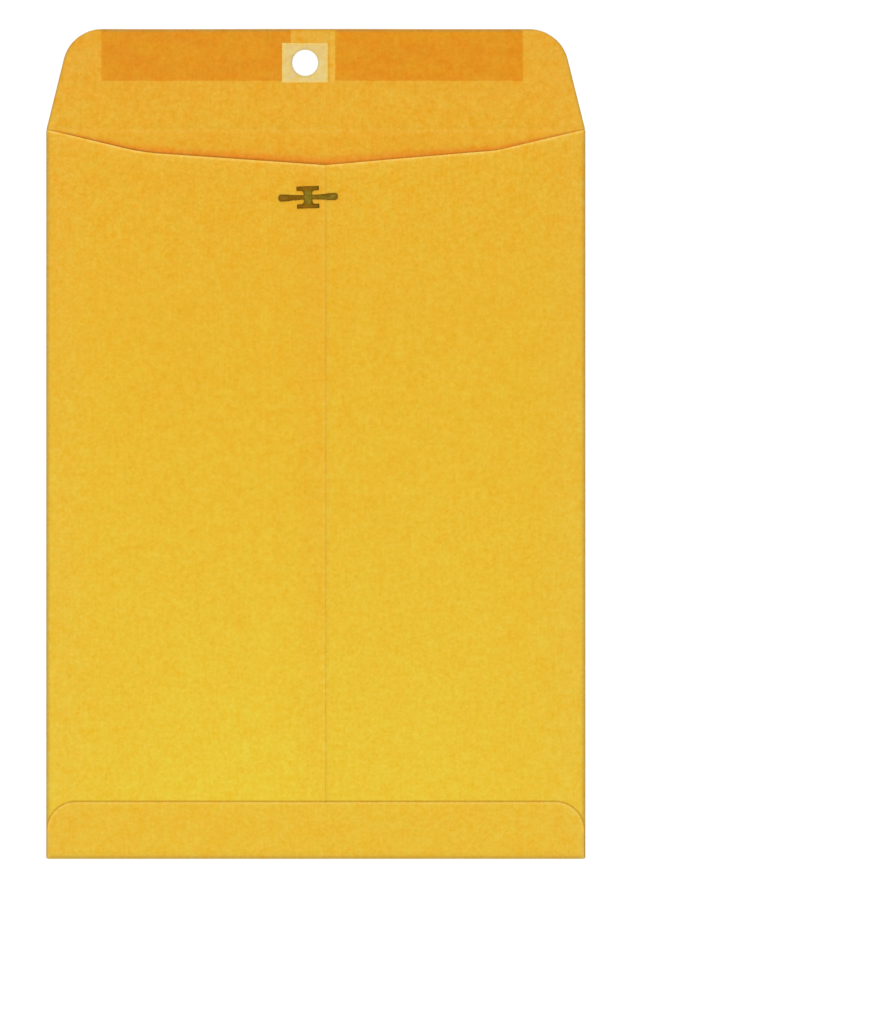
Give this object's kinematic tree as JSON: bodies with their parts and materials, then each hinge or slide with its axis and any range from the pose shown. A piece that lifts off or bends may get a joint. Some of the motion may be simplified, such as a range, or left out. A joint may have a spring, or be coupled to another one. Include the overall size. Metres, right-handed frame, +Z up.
{
  "type": "paper envelope",
  "caption": "Large kraft paper envelope lying back side up, with an open gummed closing flap, a patched hole in it, and a metal clasp on the back panel.",
  "frame": {"origin": "under the middle of the whole envelope, flap included, on the surface that it lies on", "axes": "+X across, to the right as seen from above with the flap at the top; +Y from the bottom fold towards the end of the closing flap; +Z up, out of the back panels"},
  "size_m": [0.216, 0.3324, 0.0034],
  "materials": {
    "kraft_paper": "matt, golden brown",
    "patch_paper": "matt, pale buff",
    "dried_gum": "slight sheen, amber over kraft",
    "clasp_metal": "dull, plated"
  },
  "bodies": {
    "envelope": {"folded_sheet": "kraft_paper", "hole_patch": "patch_paper", "gum_strip_left": "dried_gum", "gum_strip_right": "dried_gum", "clasp_base": "clasp_metal"},
    "left_prong": {"prong_left": "clasp_metal"},
    "right_prong": {"prong_right": "clasp_metal"}
  },
  "joints": [
    {"name": "left_prong_bend", "type": "hinge", "parent": "envelope", "child": "left_prong", "pos_m": [-0.0047, 0.09845, 0.0031], "axis": [-0.0314, 0.9995, 0.0082], "range_deg": [0, 90]},
    {"name": "right_prong_bend", "type": "hinge", "parent": "envelope", "child": "right_prong", "pos_m": [-0.0013, 0.09855, 0.0031], "axis": [0.0314, -0.9995, -0.0082], "range_deg": [0, 90]}
  ]
}
